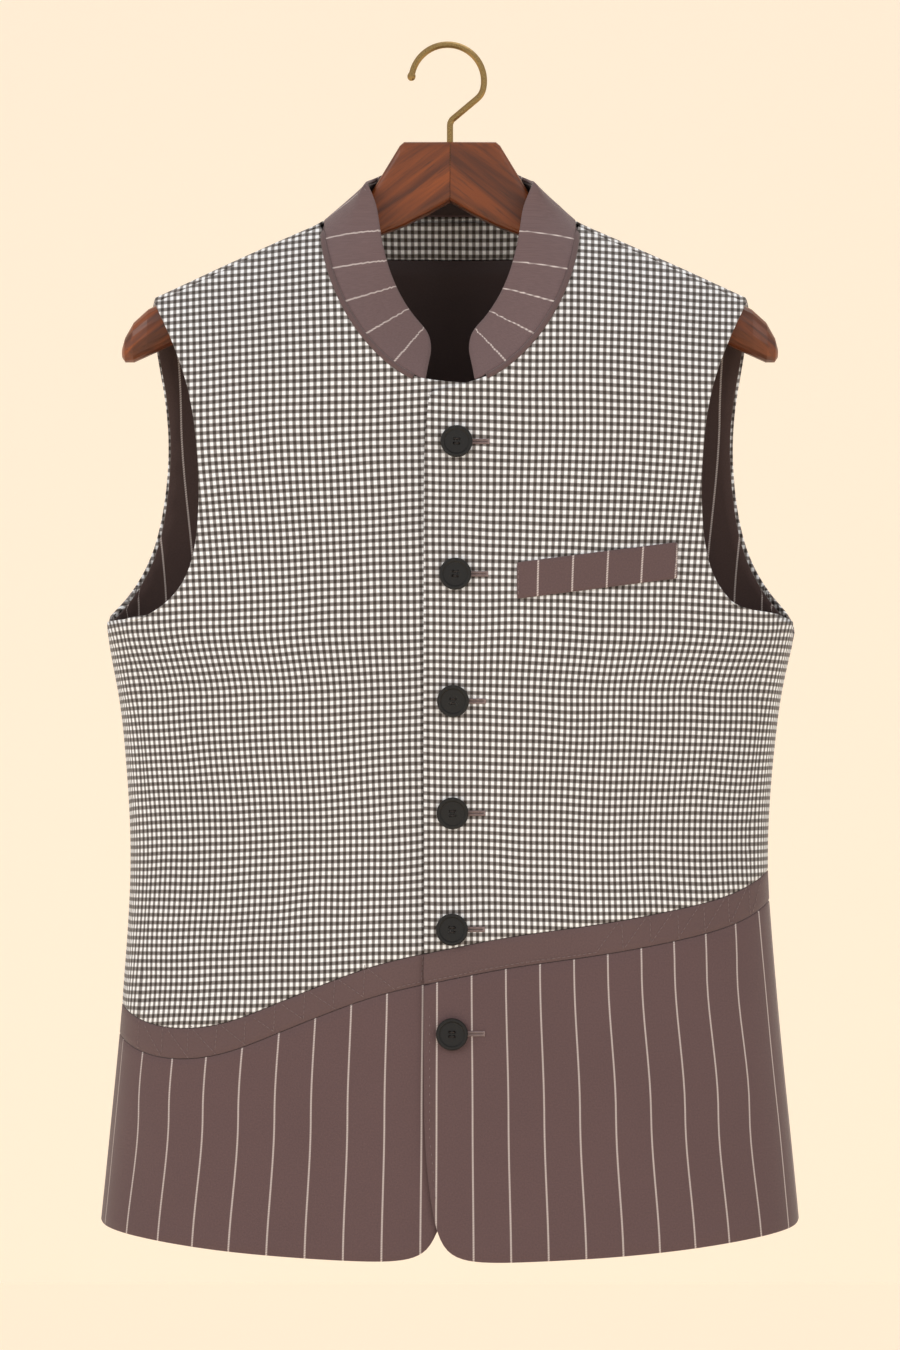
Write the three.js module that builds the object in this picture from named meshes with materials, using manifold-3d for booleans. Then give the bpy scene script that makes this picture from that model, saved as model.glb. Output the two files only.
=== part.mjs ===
// A sleeveless band-collared jacket hanging on a wooden coat hanger with a brass hook.
// Millimetres, +Z up, the front of the jacket towards -Y and the wearer's left towards +X.
// The origin is the inside of the hook's top, where it bears on a rail.
//
// Every cloth piece lies on one surface, the worn shape of the jacket. A place on it is (share, over):
//   share  how far round the half girth, by length: 0 on the centre line, 1 or -1 at a side seam
//   over   how far down from the shoulder ridge: below 0 on the front, above 0 on the back
import * as THREE from 'three';
import { mergeVertices } from 'three/addons/utils/BufferGeometryUtils.js';
import Module from 'manifold-3d';

const wasm = await Module();
wasm.setup();

// ---------------------------------------------------------------- driving dimensions

const FRONT = -1;
const BACK = 1;
const LEFT = 1; // the wearer's left, which buttons over
const RIGHT = -1;

const CLOTH = 2; // wall of a jacket panel: cloth with its interlining
const LINING = 1.2; // wall of a lining or facing
const LINING_GAP = 3; // clear space between a panel and what lines it
const SEAM = 0.3; // clear space between two pieces that are sewn edge to edge
const HALF_SEAM = SEAM / 2;

const NECK = { half: 88, height: -120, frontDrop: 120, backRise: 9, squareness: 1.85 };
const BAND_HEIGHT = 20.5; // the plain band between the checked cloth and the striped skirt
const HEM = { centre: -824, frontRise: 15.5, backRise: 17 };
const SHOULDER_SEAM = 38; // how far in front of the ridge the shoulder seam runs, as `over`
const LAP_LIFT = 1.6; // how far each front moves off the shared surface where they lap
const LAP_FULL = 25; // half width of the lapped strip
const LAP_END = 95; // where the lapped fronts are back on the shared surface

// The ridge line over the shoulders: its height at the neck, its slope and its rounding at the centre.
const RIDGE = { centre: -89.6, slope: 0.4576, rounding: 25 };
const DOME = 120; // drop in which the cloth turns from lying on the ridge to hanging straight
const SQUARENESS = 2.5; // of the level sections: 2 is an ellipse, more is flatter in front

// Level sections: height, half width at the side seam, depth to the centre front and centre back.
const SECTIONS = [
  { z: -85, half: 262, front: 60, back: 66 },
  { z: -250, half: 252, front: 68, back: 65 },
  { z: -397, half: 237.5, front: 72, back: 64 },
  { z: -450, half: 225.7, front: 70, back: 61 },
  { z: -546, half: 218.4, front: 66, back: 58 },
  { z: -630, half: 223, front: 70, back: 60 },
  { z: -727, half: 232.6, front: 76, back: 65 },
  { z: -830, half: 243, front: 80, back: 70 },
];

// The armhole edge, from the shoulder down to the side seam.
const FRONT_ARMHOLE = [
  { x: 203.5, z: -178.2 },
  { x: 187, z: -211 },
  { x: 174, z: -252 },
  { x: 169, z: -312 },
  { x: 174, z: -361 },
  { x: 190, z: -385 },
  { x: 215, z: -397 },
];
const BACK_ARMHOLE = [
  { x: 208.5, z: -181 },
  { x: 206, z: -208 },
  { x: 199.5, z: -252 },
  { x: 199, z: -290 },
  { x: 205, z: -338 },
  { x: 216, z: -366 },
  { x: 231, z: -387 },
];
const UNDERARM = -395;

// The top edge of the band, by its place across the half width: -1 and 1 are the side seams.
const FRONT_WAVE = [
  { across: -1, z: -659 },
  { across: -0.918, z: -668 },
  { across: -0.805, z: -671.4 },
  { across: -0.664, z: -666.5 },
  { across: -0.468, z: -648 },
  { across: -0.246, z: -628.5 },
  { across: -0.076, z: -619 },
  { across: 0.18, z: -608 },
  { across: 0.4525, z: -600 },
  { across: 0.68, z: -591.5 },
  { across: 0.841, z: -583.5 },
  { across: 0.934, z: -575.5 },
  { across: 1, z: -567 },
];
const BACK_WAVE = [
  { across: -1, z: -659 },
  { across: -0.6, z: -652 },
  { across: 0, z: -612 },
  { across: 0.6, z: -576 },
  { across: 1, z: -567 },
];

// The front edges, from the neck down: the left front laps over the right one and is cut away at the hem.
const LAPPING_EDGE = [
  { x: -13.5, z: -242.5 },
  { x: -16.6, z: -258 },
  { x: -17.5, z: -285 },
  { x: -17.5, z: -640 },
  { x: -17, z: -740 },
  { x: -14.6, z: -772 },
  { x: -9, z: -806 },
];
const LAPPING_CORNER = [
  { x: -9, z: -806 },
  { x: -3, z: -817 },
  { x: 7, z: -821.8 },
  { x: 20, z: -823.7 },
];
const LAPPED_EDGE = [
  { x: 20, z: -237 },
  { x: 20, z: -450 },
  { x: 20, z: -650 },
  { x: 17, z: -700 },
  { x: 6, z: -760 },
  { x: -9, z: -807 },
];
const LAPPED_CORNER = [
  { x: -9, z: -807 },
  { x: -13.5, z: -815 },
  { x: -20.5, z: -820 },
  { x: -34, z: -823.3 },
];

// The collar, from its front end to the centre back: how it leans in, back and up at each place.
const COLLAR_LEAN = [
  { along: 0, inward: 0.66, back: 0.56, up: 0.5, height: 42 },
  { along: 0.2, inward: 0.74, back: 0.5, up: 0.45, height: 42 },
  { along: 0.4, inward: 0.87, back: 0.28, up: 0.4, height: 42 },
  { along: 0.54, inward: 0.87, back: 0, up: 0.45, height: 42 },
  { along: 0.57, inward: 0.74, back: -0.25, up: 0.64, height: 42 },
  { along: 0.6, inward: 0.76, back: -0.2, up: 0.62, height: 42.5 },
  { along: 0.65, inward: 0.75, back: 0, up: 0.66, height: 43 },
  { along: 0.8, inward: 0.42, back: -0.3, up: 0.78, height: 39 },
  { along: 1, inward: 0, back: -0.56, up: 0.83, height: 36 },
];
const COLLAR = { end: 18, gap: 2.2, endSlant: 0.58, roundFrom: 30, rounding: 6 };

const WELT = { inner: 44.4, outer: 152, innerTop: -357.6, outerTop: -343.6, height: 24.4, wall: 1.4 };

const BUTTON = { radius: 10.7, thick: 3.8, rim: 1.9, dish: 0.9, hole: 1, holeReach: 2.1, gap: 0.5 };
const BUTTONS = [
  { x: 4.4, z: -276.8 },
  { x: 3.5, z: -365.3 },
  { x: 2, z: -450 },
  { x: 1.7, z: -525 },
  { x: 1.3, z: -602.7 },
  { x: 1.3, z: -672 },
];

// One half of the hanger, from the middle joint to its tip.
const HANGER = [
  { x: 0.15, top: -65.5, bottom: -106.2, thick: 9, squareness: 6 },
  { x: 16, top: -65.5, bottom: -115.2, thick: 9, squareness: 6 },
  { x: 31.5, top: -65.5, bottom: -123, thick: 9, squareness: 6 },
  { x: 34.5, top: -68, bottom: -124.2, thick: 9, squareness: 6 },
  { x: 54, top: -100, bottom: -131.5, thick: 9, squareness: 5 },
  { x: 68, top: -115.5, bottom: -139, thick: 9, squareness: 4 },
  { x: 90, top: -126.5, bottom: -150.5, thick: 10, squareness: 3 },
  { x: 150, top: -153, bottom: -183, thick: 11.5, squareness: 2.6 },
  { x: 190, top: -171.5, bottom: -204, thick: 12.5, squareness: 2.5 },
  { x: 208, top: -180.5, bottom: -212.5, thick: 12.5, squareness: 2.4 },
  { x: 218, top: -189.5, bottom: -217, thick: 11.5, squareness: 2.3 },
  { x: 224, top: -200, bottom: -217, thick: 8, squareness: 2.2 },
  { x: 226, top: -207, bottom: -214, thick: 4, squareness: 2 },
];
const HANGER_SIDES = 20;

// The hook: a wire loop that tightens into its neck, with a ball on the free end.
const WIRE = 2.3; // radius
const HOOK = {
  loop: { x: -1.6, z: WIRE - 25.1, radius: 25.1, from: 168, to: -12 },
  turn: { radius: 12.4, to: -50 },
  neck: { radius: 7 },
  ball: 3.1,
  bore: 18,
};
const HOOK_SIDES = 8;

// ---------------------------------------------------------------- tables and curves

// The value of a column at a place in a table, on a smooth curve through its rows.
function lookUp(rows, key, column, at) {
  const last = rows.length - 1;
  const way = Math.sign(rows[last][key] - rows[0][key]);
  const found = rows.findIndex((row) => (row[key] - at) * way > 0);
  const high = found < 0 ? last : Math.max(found, 1);
  const low = high - 1;
  const slope = (n) => {
    const before = rows[Math.max(n - 1, 0)];
    const after = rows[Math.min(n + 1, last)];
    return (after[column] - before[column]) / (after[key] - before[key]);
  };
  const width = rows[high][key] - rows[low][key];
  const t = THREE.MathUtils.clamp((at - rows[low][key]) / width, 0, 1);
  const [a, b] = [rows[low][column], rows[high][column]];
  const [m, n] = [slope(low) * width, slope(high) * width];
  return a + t * (m + t * (3 * (b - a) - 2 * m - n + t * (2 * (a - b) + m + n)));
}

const smoothStep = (t) => {
  const c = THREE.MathUtils.clamp(t, 0, 1);
  return c * c * (3 - 2 * c);
};

// A smooth edge through rows of x and z, as a function of 0 to 1 that gives a Vector2.
function throughRows(rows, mirror = 1) {
  const curve = new THREE.SplineCurve(rows.map((row) => new THREE.Vector2(mirror * row.x, row.z)));
  return (t) => curve.getPointAt(t);
}

const straight = (from, to) => (t) => from.clone().lerp(to, t);

// Two edges end to end: the first takes up the given part of the whole.
const joined = (first, part, second) => (t) =>
  t < part ? first(t / part) : second((t - part) / (1 - part));

// ---------------------------------------------------------------- the worn surface

// Length round a section from the centre to the side, at evenly spaced angles of the superellipse.
const TURNS = 400;
const roundness = (angle) => ({
  across: Math.sin(angle) ** (2 / SQUARENESS),
  deep: Math.max(Math.cos(angle), 0) ** (2 / SQUARENESS),
});
const GIRTH = girthTable(0.31);

function girthTable(depthPerWidth) {
  const lengths = [0];
  let before = roundness(0);
  for (let i = 1; i <= TURNS; i += 1) {
    const here = roundness((i / TURNS) * (Math.PI / 2));
    const step = Math.hypot(here.across - before.across, depthPerWidth * (here.deep - before.deep));
    lengths.push(lengths[i - 1] + step);
    before = here;
  }
  return lengths.map((length) => length / lengths[TURNS]);
}

function roundAt(share) {
  const wanted = Math.min(Math.abs(share), 1);
  const high = Math.max(GIRTH.findIndex((length) => length >= wanted), 1);
  const part = (wanted - GIRTH[high - 1]) / (GIRTH[high] - GIRTH[high - 1]);
  return roundness(((high - 1 + part) / TURNS) * (Math.PI / 2));
}

function shareAt(across) {
  const turn = (Math.asin(Math.min(Math.abs(across), 1) ** (SQUARENESS / 2)) / (Math.PI / 2)) * TURNS;
  const low = Math.min(Math.floor(turn), TURNS - 1);
  return Math.sign(across) * THREE.MathUtils.lerp(GIRTH[low], GIRTH[low + 1], turn - low);
}

const ridgeHeight = (x) =>
  RIDGE.centre - RIDGE.slope * (Math.hypot(x, RIDGE.rounding) - RIDGE.rounding);

const section = (column, z) => lookUp(SECTIONS, 'z', column, z);

// The point of the worn surface at (share, over).
function surface(share, over) {
  const { across, deep } = roundAt(share);
  const turn = Math.min(Math.abs(over) / DOME, Math.PI / 2);
  const fall = DOME * (1 - Math.cos(turn)) + Math.max(Math.abs(over) - DOME * (Math.PI / 2), 0);
  let x = 0;
  let z = ridgeHeight(x) - fall;
  for (let pass = 0; pass < 8; pass += 1) {
    x = across * section('half', z);
    z = ridgeHeight(x) - fall;
  }
  const depth = section(over < 0 ? 'front' : 'back', z);
  return new THREE.Vector3(Math.sign(share) * x, Math.sign(over) * depth * deep * Math.sin(turn), z);
}

function overAt(x, z) {
  const fall = Math.max(ridgeHeight(x) - z, 0);
  return fall < DOME ? DOME * Math.acos(1 - fall / DOME) : DOME * (Math.PI / 2 - 1) + fall;
}

// The place (share, over) of a point seen from the front or the back at x and z.
function placeAt(x, z, side) {
  return new THREE.Vector2(shareAt(x / section('half', z)), side * overAt(x, z));
}

// The place at a known share of the girth and a height.
function placeOnShare(share, z, side) {
  const x = roundAt(share).across * section('half', z);
  return new THREE.Vector2(share, side * overAt(x, z));
}

const onFront = (edge) => (t) => placeAt(edge(t).x, edge(t).y, FRONT);

// How far the lapped fronts stand off the shared surface: the left one out, the right one in.
function lap(point, front) {
  const reach = smoothStep((LAP_END - front * point.x) / (LAP_END - LAP_FULL));
  return new THREE.Vector3(0, -front * LAP_LIFT * reach, 0);
}
const frontSurface = (front) => (place) => {
  const point = surface(place.x, place.y);
  return point.add(lap(point, front));
};
const backSurface = (place) => surface(place.x, place.y);

// ---------------------------------------------------------------- the edges of the panels

const SIDE_SHARE = 1 - HALF_SEAM / 285;
const waveHeight = (rows, share) =>
  lookUp(rows, 'across', 'z', Math.sign(share) * roundAt(share).across);
const hemHeight = (share, rise) => HEM.centre + rise * roundAt(share).across ** 2;

const sideSeam = (mirror, side, from, to) => (t) =>
  placeOnShare(mirror * SIDE_SHARE, THREE.MathUtils.lerp(from, to, t), side);

// An edge that runs round the girth at a height given by its share.
const level = (fromShare, toShare, side, height) => (t) => {
  const share = THREE.MathUtils.lerp(fromShare, toShare, t);
  return placeOnShare(share, height(share), side);
};

// The front neckline, from the centre towards the shoulder seam.
function frontNeck(angle) {
  const power = 2 / NECK.squareness;
  const x = NECK.half * Math.sin(angle) ** power;
  const z = NECK.height - NECK.frontDrop * Math.cos(angle) ** power;
  return new THREE.Vector2(x, z);
}
const neckAngle = (x) => Math.asin((x / NECK.half) ** (NECK.squareness / 2));
const seamDrop = DOME * (1 - Math.cos(SHOULDER_SEAM / DOME));
const NECK_SEAM_ANGLE = Math.acos((seamDrop / NECK.frontDrop) ** (NECK.squareness / 2));

const frontNeckline = (mirror, fromX) => (t) => {
  const start = neckAngle(Math.max(fromX, 0));
  const point = frontNeck(THREE.MathUtils.lerp(start, NECK_SEAM_ANGLE, t));
  return placeAt(mirror * point.x, point.y, FRONT);
};

// The back neckline of one side, from the shoulder seam over the ridge to the centre back.
function backNeck(t) {
  const ridgeShare = shareAt(NECK.half / section('half', NECK.height));
  const overRidge = 0.16;
  if (t < overRidge) return new THREE.Vector2(ridgeShare, -SHOULDER_SEAM * (1 - t / overRidge));
  const angle = ((t - overRidge) / (1 - overRidge)) * (Math.PI / 2);
  const x = NECK.half * Math.cos(angle);
  const z = NECK.height + NECK.backRise * Math.sin(angle) ** 2;
  return placeAt(x, z, BACK);
}
const mirrored = (place, mirror) => new THREE.Vector2(mirror * place.x, place.y);
const backNeckline = (mirror) => (t) => mirrored(backNeck(t), mirror);

// The back armhole of one side, from the side seam up and over the ridge to the shoulder seam.
function backArmhole(mirror) {
  const start = new THREE.Vector2(mirror * SIDE_SHARE, placeOnShare(SIDE_SHARE, UNDERARM, BACK).y);
  const places = BACK_ARMHOLE.map((row) => placeAt(mirror * row.x, row.z, BACK)).reverse();
  const tip = placeAt(mirror * FRONT_ARMHOLE[0].x, FRONT_ARMHOLE[0].z, FRONT);
  const curve = new THREE.SplineCurve([
    start,
    ...places,
    new THREE.Vector2(tip.x, 0),
    new THREE.Vector2(tip.x, -SHOULDER_SEAM + HALF_SEAM),
  ].map((place) => new THREE.Vector2(place.x * 285, place.y)));
  return (t) => {
    const point = curve.getPointAt(t);
    return new THREE.Vector2(point.x / 285, point.y);
  };
}

function frontArmhole(mirror) {
  const rows = [...FRONT_ARMHOLE, { x: section('half', UNDERARM), z: UNDERARM }].reverse();
  const edge = throughRows(rows, mirror);
  return (t) => {
    const place = placeAt(edge(t).x, edge(t).y, FRONT);
    place.x = THREE.MathUtils.clamp(place.x, -SIDE_SHARE, SIDE_SHARE);
    return place;
  };
}

// ---------------------------------------------------------------- solids

// A grid of places filled in between four edges, by blending each pair of opposite edges.
function patch({ bottom, top, left, right }, columns, rows) {
  const [a, b, c, d] = [bottom(0), bottom(1), top(0), top(1)];
  const grid = [];
  for (let j = 0; j <= rows; j += 1) {
    const t = j / rows;
    grid.push([]);
    for (let i = 0; i <= columns; i += 1) {
      const s = i / columns;
      const corners = a.clone().lerp(b, s).lerp(c.clone().lerp(d, s), t);
      const place = bottom(s).lerp(top(s), t).add(left(t).lerp(right(t), s)).sub(corners);
      grid[j].push(place);
    }
  }
  return grid;
}

// Which way is out at each point of a grid, found from the points beside it.
function waysFromNeighbours(points) {
  const rows = points.length - 1;
  const columns = points[0].length - 1;
  return points.map((row, j) =>
    row.map((_, i) => {
      const along = row[Math.min(i + 1, columns)].clone().sub(row[Math.max(i - 1, 0)]);
      const up = points[Math.min(j + 1, rows)][i].clone().sub(points[Math.max(j - 1, 0)][i]);
      return up.cross(along).normalize();
    }),
  );
}

function closedGeometry(vertices, triangles) {
  const geometry = new THREE.BufferGeometry();
  const numbers = vertices.flatMap((vertex) => vertex.toArray());
  geometry.setAttribute('position', new THREE.Float32BufferAttribute(numbers, 3));
  let volume = 0;
  triangles.forEach(([a, b, c]) => {
    volume += vertices[a].dot(vertices[b].clone().cross(vertices[c]));
  });
  geometry.setIndex(triangles.flatMap(([a, b, c]) => (volume < 0 ? [a, c, b] : [a, b, c])));
  return geometry;
}

// A closed wall on a grid of points and the ways out of them: two faces and a rim all round.
function wall({ points, ways }, out, inward) {
  const rows = points.length;
  const columns = points[0].length;
  const moved = (by) =>
    points.flatMap((row, j) => row.map((p, i) => p.clone().addScaledVector(ways[j][i], by)));
  const vertices = [...moved(out), ...moved(-inward)];
  const under = rows * columns;
  const at = (i, j) => j * columns + i;
  const triangles = [];
  const quad = (a, b, c, d) => triangles.push([a, b, c], [a, c, d]);
  for (let j = 0; j < rows - 1; j += 1) {
    for (let i = 0; i < columns - 1; i += 1) {
      const [a, b, c, d] = [at(i, j), at(i + 1, j), at(i + 1, j + 1), at(i, j + 1)];
      quad(a, b, c, d);
      quad(a + under, d + under, c + under, b + under);
    }
  }
  const rim = [];
  for (let i = 0; i < columns - 1; i += 1) rim.push(at(i, 0));
  for (let j = 0; j < rows - 1; j += 1) rim.push(at(columns - 1, j));
  for (let i = columns - 1; i > 0; i -= 1) rim.push(at(i, rows - 1));
  for (let j = rows - 1; j > 0; j -= 1) rim.push(at(0, j));
  rim.forEach((a, n) => {
    const b = rim[(n + 1) % rim.length];
    quad(b, a, a + under, b + under);
  });
  return closedGeometry(vertices, triangles);
}

// A closed solid through rings of points that all have the same number of corners.
function loft(rings) {
  const sides = rings[0].length;
  const vertices = rings.flat();
  const triangles = [];
  for (let n = 0; n < rings.length - 1; n += 1) {
    for (let i = 0; i < sides; i += 1) {
      const [a, b] = [n * sides + i, n * sides + ((i + 1) % sides)];
      triangles.push([a, b, b + sides], [a, b + sides, a + sides]);
    }
  }
  const end = (rings.length - 1) * sides;
  for (let i = 1; i < sides - 1; i += 1) {
    triangles.push([0, i + 1, i], [end, end + i, end + i + 1]);
  }
  return closedGeometry(vertices, triangles);
}

function asSolid(geometry) {
  const bare = geometry.clone();
  bare.deleteAttribute('normal');
  bare.deleteAttribute('uv');
  const merged = mergeVertices(bare, 1e-4);
  return new wasm.Manifold(
    new wasm.Mesh({
      numProp: 3,
      vertProperties: merged.attributes.position.array,
      triVerts: new Uint32Array(merged.index.array),
    }),
  );
}

function cutAway(geometry, tools) {
  const solid = tools.reduce((left, tool) => left.subtract(asSolid(tool)), asSolid(geometry));
  const mesh = solid.getMesh();
  const made = new THREE.BufferGeometry();
  made.setAttribute('position', new THREE.Float32BufferAttribute(mesh.vertProperties, 3));
  made.setIndex([...mesh.triVerts]);
  return made;
}

// ---------------------------------------------------------------- materials

const finish = (color, roughness, metalness = 0) =>
  new THREE.MeshStandardMaterial({ color, roughness, metalness });
const CHECKED = finish(0x9e9791, 0.9);
const STRIPED = finish(0x6b524f, 0.85);
const LINING_CLOTH = finish(0x35272a, 0.7);
const BLACK_HORN = finish(0x1c1b19, 0.4);
const WALNUT = finish(0x6f3f28, 0.45);
const BRASS = finish(0xa9843f, 0.3, 1);

const jacket = new THREE.Group();
const hanger = new THREE.Group();

function addPiece(group, name, geometry, material) {
  const mesh = new THREE.Mesh(geometry, material);
  mesh.name = name;
  group.add(mesh);
  return mesh;
}

const SHARE_STEP = 0.004;
const OVER_STEP = 0.5;

// The way out of the worn surface at a place.
function wayOut(place, onSurface) {
  const shifted = (share, over) => onSurface(new THREE.Vector2(place.x + share, place.y + over));
  const round = shifted(SHARE_STEP, 0).sub(shifted(-SHARE_STEP, 0));
  const down = shifted(0, OVER_STEP).sub(shifted(0, -OVER_STEP));
  return round.cross(down).normalize();
}

// A grid of places laid on the worn surface.
const laid = (places, onSurface) => ({
  points: places.map((row) => row.map(onSurface)),
  ways: places.map((row) => row.map((place) => wayOut(place, onSurface))),
});

const panel = (places, onSurface) => wall(laid(places, onSurface), CLOTH / 2, CLOTH / 2);

// ---------------------------------------------------------------- the two fronts

const FRONT_COLUMNS = 14;

function makeFront(front, name) {
  const onSurface = frontSurface(front);
  const edgeRows = front === LEFT ? LAPPING_EDGE : LAPPED_EDGE;
  const cornerRows = front === LEFT ? LAPPING_CORNER : LAPPED_CORNER;
  const cornerTop = edgeRows[edgeRows.length - 1];
  const edgeX = (z) => lookUp(edgeRows, 'z', 'x', z);
  const side = front * SIDE_SHARE;
  const edgeShare = (z) => placeAt(edgeX(z), z, FRONT).x;
  const bandTop = (share) => waveHeight(FRONT_WAVE, share);
  const bandBottom = (share) => bandTop(share) - BAND_HEIGHT;
  const edgeLine = (from, to) => (t) => {
    const z = THREE.MathUtils.lerp(from, to, t);
    return placeAt(edgeX(z), z, FRONT);
  };
  const topShare = edgeShare(-620);
  const lowShare = edgeShare(-640);
  const sideTop = bandTop(side);

  // Upper front, in checked cloth: from the band to the shoulder, round the neck and the armhole.
  const bottom = level(topShare, side, FRONT, (share) => bandTop(share) + HALF_SEAM);
  const neckTop = edgeRows[0].z;
  const edgeUp = (t) => {
    const place = edgeLine(bandTop(topShare) + HALF_SEAM, neckTop)(t);
    place.x = THREE.MathUtils.lerp(topShare, place.x, Math.min(4 * t, 1));
    return place;
  };
  const crossing = edgeUp(1);
  const acrossNeck = (t) => {
    const neck = frontNeckline(front, 8)(t);
    const join = smoothStep(t / 0.12);
    return crossing.clone().lerp(neck, join);
  };
  const left = joined(edgeUp, 0.62, acrossNeck);
  const sideUp = sideSeam(front, FRONT, sideTop + HALF_SEAM, UNDERARM);
  const right = joined(sideUp, 0.42, frontArmhole(front));
  const upper = { bottom, left, right, top: straight(left(1), right(1)) };
  addPiece(jacket, `${name}_upper`, panel(patch(upper, FRONT_COLUMNS, 21), onSurface), CHECKED);

  // Plain band across the front.
  const band = {
    bottom: level(lowShare, side, FRONT, (share) => bandBottom(share) + HALF_SEAM),
    top: level(topShare, side, FRONT, (share) => bandTop(share) - HALF_SEAM),
  };
  band.left = straight(band.bottom(0), band.top(0));
  band.right = straight(band.bottom(1), band.top(1));
  addPiece(jacket, `${name}_band`, panel(patch(band, FRONT_COLUMNS, 1), onSurface), STRIPED);

  // Striped skirt, rounded off where the front edge meets the hem.
  const skirtTop = level(lowShare, side, FRONT, (share) => bandBottom(share) - HALF_SEAM);
  const corner = onFront(throughRows(cornerRows));
  const hem = level(corner(1).x, side, FRONT, (share) => hemHeight(share, HEM.frontRise));
  const edgeDown = edgeLine(cornerTop.z, bandBottom(lowShare) - HALF_SEAM);
  const skirt = {
    top: skirtTop,
    bottom: joined(corner, 0.16, hem),
    left: (t) => {
      const place = edgeDown(t);
      place.x = THREE.MathUtils.lerp(place.x, lowShare, smoothStep(4 * t - 3));
      return place;
    },
    right: sideSeam(front, FRONT, hemHeight(1, HEM.frontRise), bandBottom(side) - HALF_SEAM),
  };
  addPiece(jacket, `${name}_skirt`, panel(patch(skirt, FRONT_COLUMNS, 5), onSurface), STRIPED);
}

makeFront(RIGHT, 'front_right');
makeFront(LEFT, 'front_left');

// ---------------------------------------------------------------- the back

const BACK_COLUMNS = 28;

function makeBack() {
  const bandTop = (share) => waveHeight(BACK_WAVE, share);
  const bandBottom = (share) => bandTop(share) - BAND_HEIGHT;
  const around = (height) => level(-SIDE_SHARE, SIDE_SHARE, BACK, height);

  // Upper back, in checked cloth: it comes forward over the shoulders to the shoulder seams.
  const bottom = around((share) => bandTop(share) + HALF_SEAM);
  const sideOf = (mirror) => {
    const up = sideSeam(mirror, BACK, bandTop(mirror) + HALF_SEAM, UNDERARM);
    return joined(up, 0.4, backArmhole(mirror));
  };
  const [right, left] = [sideOf(LEFT), sideOf(RIGHT)];
  const neckPoint = (mirror) => {
    const point = backNeckline(mirror)(0);
    point.y += HALF_SEAM;
    return point;
  };
  const overNeck = (t) => (t < 0.5 ? backNeckline(RIGHT)(2 * t) : backNeckline(LEFT)(2 - 2 * t));
  const neckAndRight = joined(overNeck, 5 / 8, straight(neckPoint(LEFT), right(1)));
  const top = joined(straight(left(1), neckPoint(RIGHT)), 3 / 11, neckAndRight);
  addPiece(jacket, 'back_upper', panel(patch({ bottom, top, left, right }, 28, 21), backSurface), CHECKED);

  const between = (low, high) => {
    const edges = { bottom: around(low), top: around(high) };
    edges.left = straight(edges.bottom(0), edges.top(0));
    edges.right = straight(edges.bottom(1), edges.top(1));
    return edges;
  };
  const band = between((share) => bandBottom(share) + HALF_SEAM, (share) => bandTop(share) - HALF_SEAM);
  addPiece(jacket, 'back_band', panel(patch(band, BACK_COLUMNS, 1), backSurface), STRIPED);

  const skirt = between((share) => hemHeight(share, HEM.backRise), (share) => bandBottom(share) - HALF_SEAM);
  addPiece(jacket, 'back_skirt', panel(patch(skirt, BACK_COLUMNS, 5), backSurface), STRIPED);
}

makeBack();

// ---------------------------------------------------------------- the linings that show

const UNDER = CLOTH / 2 + LINING_GAP; // from a panel's middle to the outer face of its lining
const FACING = { bottom: -138, end: 76, topGap: 2.5 };
const ARM_FACING = { bottom: -440 };

const lined = (places) => wall(laid(places, backSurface), -UNDER, UNDER + LINING);

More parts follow.
